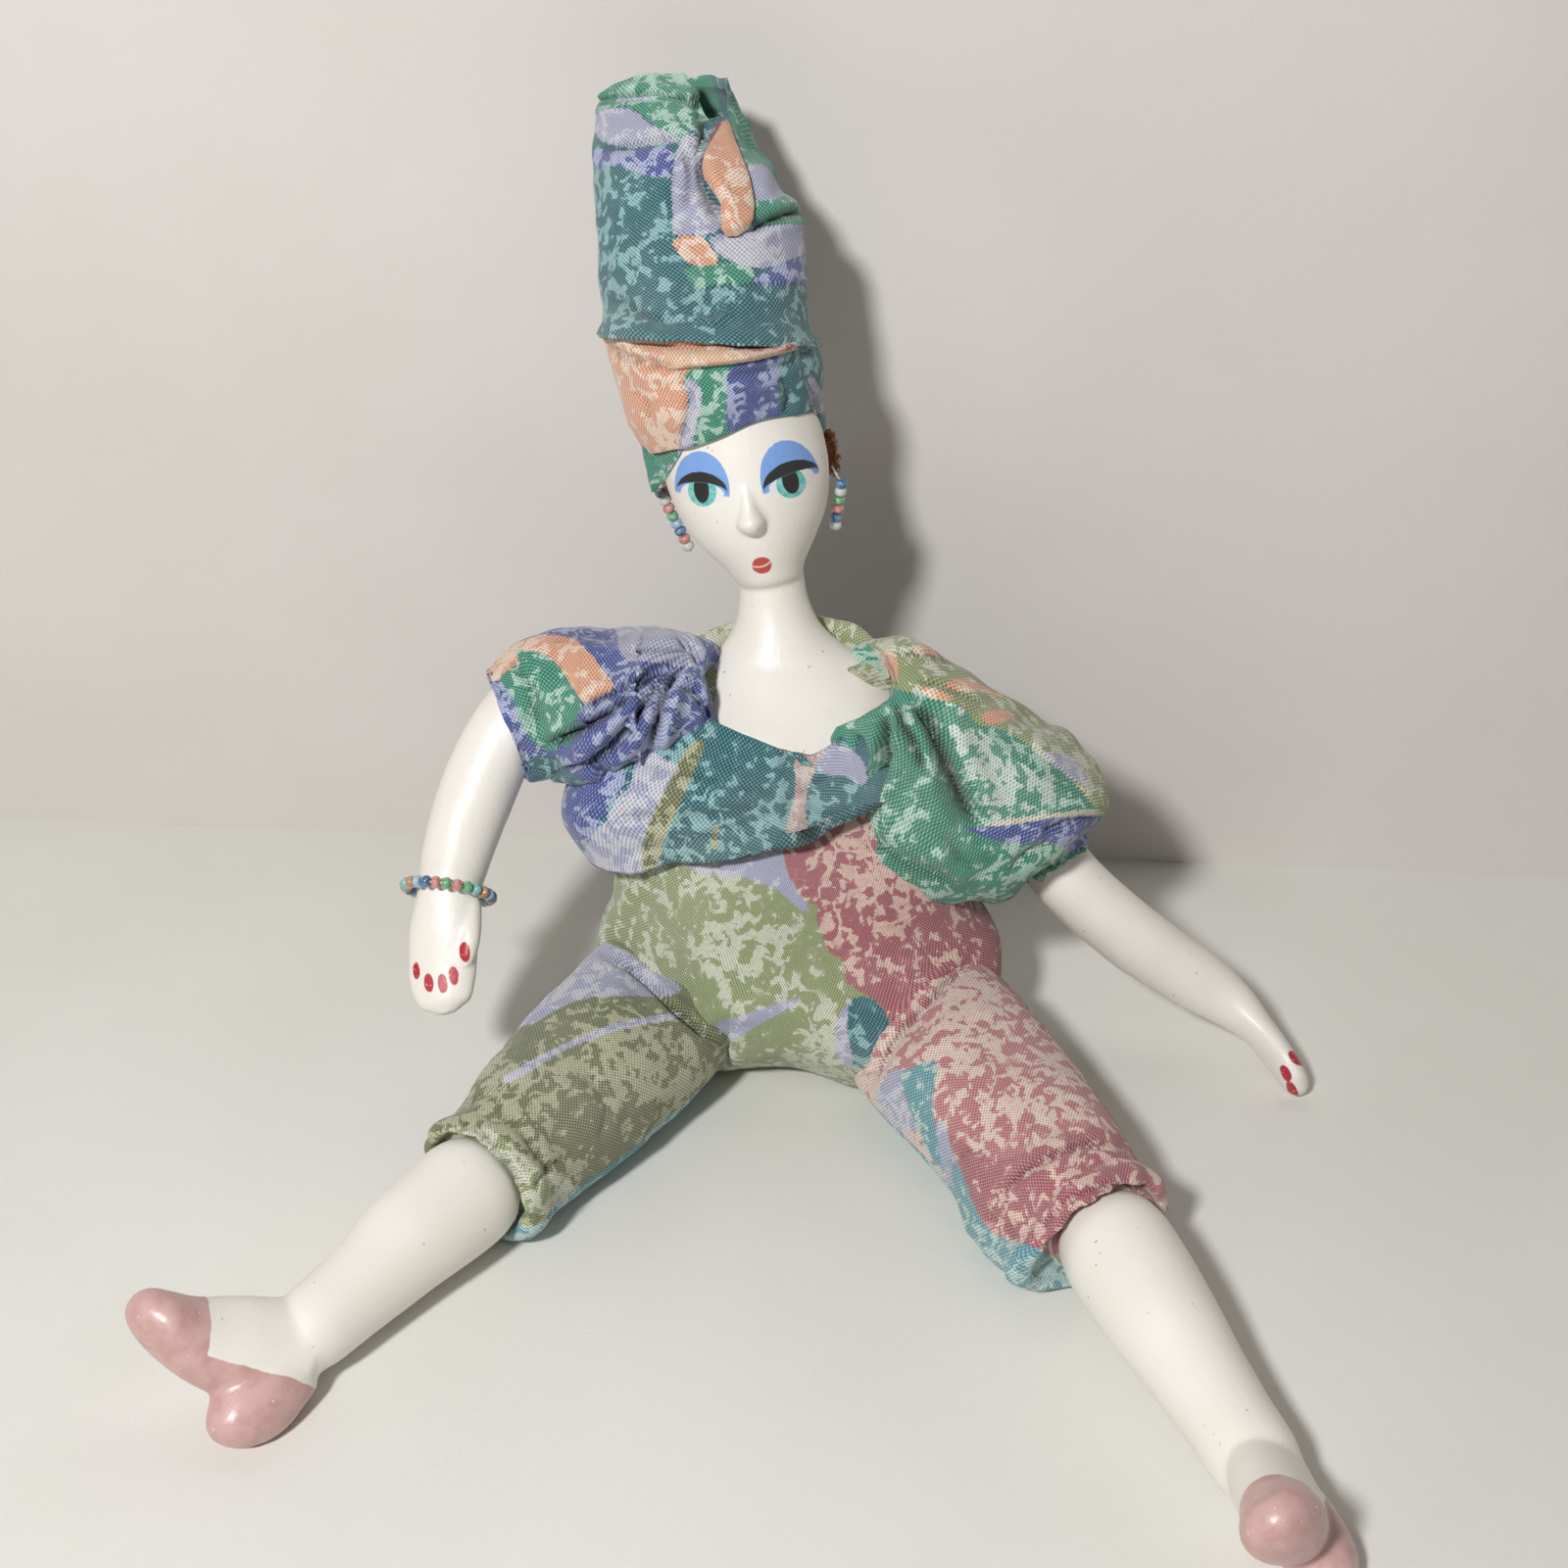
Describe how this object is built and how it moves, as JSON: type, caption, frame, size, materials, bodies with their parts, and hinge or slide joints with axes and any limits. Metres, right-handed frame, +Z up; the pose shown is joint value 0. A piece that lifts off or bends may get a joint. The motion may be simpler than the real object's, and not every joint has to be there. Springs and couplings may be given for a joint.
{
  "type": "rag doll",
  "caption": "Seated cloth-bodied doll filled with seeds, with painted head, arms and legs, tall cloth turban, puffed sleeves, bead earrings and bracelet.",
  "frame": {"origin": "middle of the flat patch of the seat that the doll sits on", "axes": "+Z up, the doll faces -Y, and its left side is +X"},
  "size_m": [0.2591, 0.2504, 0.2292],
  "materials": {
    "painted_white": "satin",
    "cloth_sage": "matte",
    "cloth_rose": "matte",
    "cloth_teal": "matte",
    "cloth_sea": "matte",
    "cloth_peach": "matte",
    "cloth_lavender": "matte",
    "cloth_blue": "matte",
    "hair_copper": "satin",
    "seeds": "matte",
    "thread": "matte",
    "glass_1": "gloss",
    "glass_2": "gloss",
    "glass_3": "gloss",
    "glass_4": "gloss",
    "glass_5": "gloss",
    "glass_6": "gloss"
  },
  "bodies": {
    "trunk": {"torso_front": "cloth_sage", "torso_back": "cloth_teal", "torso_seeds": "seeds", "head_and_shoulders": "painted_white", "hair_right": "hair_copper", "hair_left": "hair_copper", "hat_band": "cloth_peach", "hat_crown": "cloth_teal", "bodice": "cloth_teal", "neck_collar": "cloth_sage", "shoulder_drape_right": "cloth_blue", "shoulder_drape_left": "cloth_blue"},
    "thigh_right": {"thigh_casing_right": "cloth_sage", "thigh_seeds_right": "seeds", "knee_hem_right": "cloth_sage", "knee_tie_right": "thread"},
    "lower_leg_right": {"lower_leg_right": "painted_white"},
    "arm_right": {"arm_right": "painted_white", "arm_cloth_right": "cloth_lavender", "sleeve_right": "cloth_sea"},
    "earring_right": {"earring_right": "glass_5"},
    "thigh_left": {"thigh_casing_left": "cloth_rose", "thigh_seeds_left": "seeds", "knee_hem_left": "cloth_rose", "knee_tie_left": "thread"},
    "lower_leg_left": {"lower_leg_left": "painted_white"},
    "arm_left": {"arm_left": "painted_white", "arm_cloth_left": "cloth_lavender", "sleeve_left": "cloth_sea"},
    "earring_left": {"earring_left": "glass_5"},
    "bracelet": {"bracelet_elastic": "thread", "bracelet_bead_1": "glass_2", "bracelet_bead_2": "glass_3", "bracelet_bead_3": "glass_4", "bracelet_bead_4": "glass_5", "bracelet_bead_5": "glass_6", "bracelet_bead_6": "glass_1", "bracelet_bead_7": "glass_2", "bracelet_bead_8": "glass_3", "bracelet_bead_9": "glass_4", "bracelet_bead_10": "glass_5", "bracelet_bead_11": "glass_6", "bracelet_bead_12": "glass_1", "bracelet_bead_13": "glass_2", "bracelet_bead_14": "glass_3", "bracelet_bead_15": "glass_4", "bracelet_bead_16": "glass_5", "bracelet_bead_17": "glass_6", "bracelet_bead_18": "glass_1", "bracelet_bead_19": "glass_2", "bracelet_bead_20": "glass_3", "bracelet_bead_21": "glass_4", "bracelet_bead_22": "glass_5", "bracelet_bead_23": "glass_6", "bracelet_bead_24": "glass_1", "bracelet_bead_25": "glass_2", "bracelet_bead_26": "glass_3"}
  },
  "joints": [
    {"name": "hip_right", "type": "hinge", "parent": "trunk", "child": "thigh_right", "pos_m": [-0.0335, -0.006, 0.02], "axis": [-0.7971, 0.5791, 0.1711], "range_deg": [-58, 28]},
    {"name": "knee_right", "type": "hinge", "parent": "thigh_right", "child": "lower_leg_right", "pos_m": [-0.0711, -0.06857, 0.0151], "axis": [-0.788, 0.6157, 0], "range_deg": [-9, 9]},
    {"name": "shoulder_right", "type": "hinge", "parent": "trunk", "child": "arm_right", "pos_m": [-0.047, 0.021, 0.096], "axis": [-1, 0, 0], "range_deg": [-20, 80]},
    {"name": "earring_right", "type": "hinge", "parent": "trunk", "child": "earring_right", "pos_m": [-0.03144, 0.04138, 0.13815], "axis": [1, 0, 0], "range_deg": [-20, 20]},
    {"name": "hip_left", "type": "hinge", "parent": "trunk", "child": "thigh_left", "pos_m": [0.0323, -0.016, 0.02], "axis": [-0.8071, -0.5651, -0.1711], "range_deg": [-58, 28]},
    {"name": "knee_left", "type": "hinge", "parent": "thigh_left", "child": "lower_leg_left", "pos_m": [0.06666, -0.08491, 0.0151], "axis": [-0.9426, -0.3338, 0], "range_deg": [-9, 9]},
    {"name": "shoulder_left", "type": "hinge", "parent": "trunk", "child": "arm_left", "pos_m": [0.045, 0.021, 0.078], "axis": [-1, 0, 0], "range_deg": [0, 85]},
    {"name": "earring_left", "type": "hinge", "parent": "trunk", "child": "earring_left", "pos_m": [0.00849, 0.0405, 0.14192], "axis": [1, 0, 0], "range_deg": [-20, 20]},
    {"name": "bracelet_turn", "type": "hinge", "parent": "arm_right", "child": "bracelet", "pos_m": [-0.0824, -0.011, 0.055], "axis": [-0.117, -0.7022, -0.7022], "continuous": true}
  ]
}
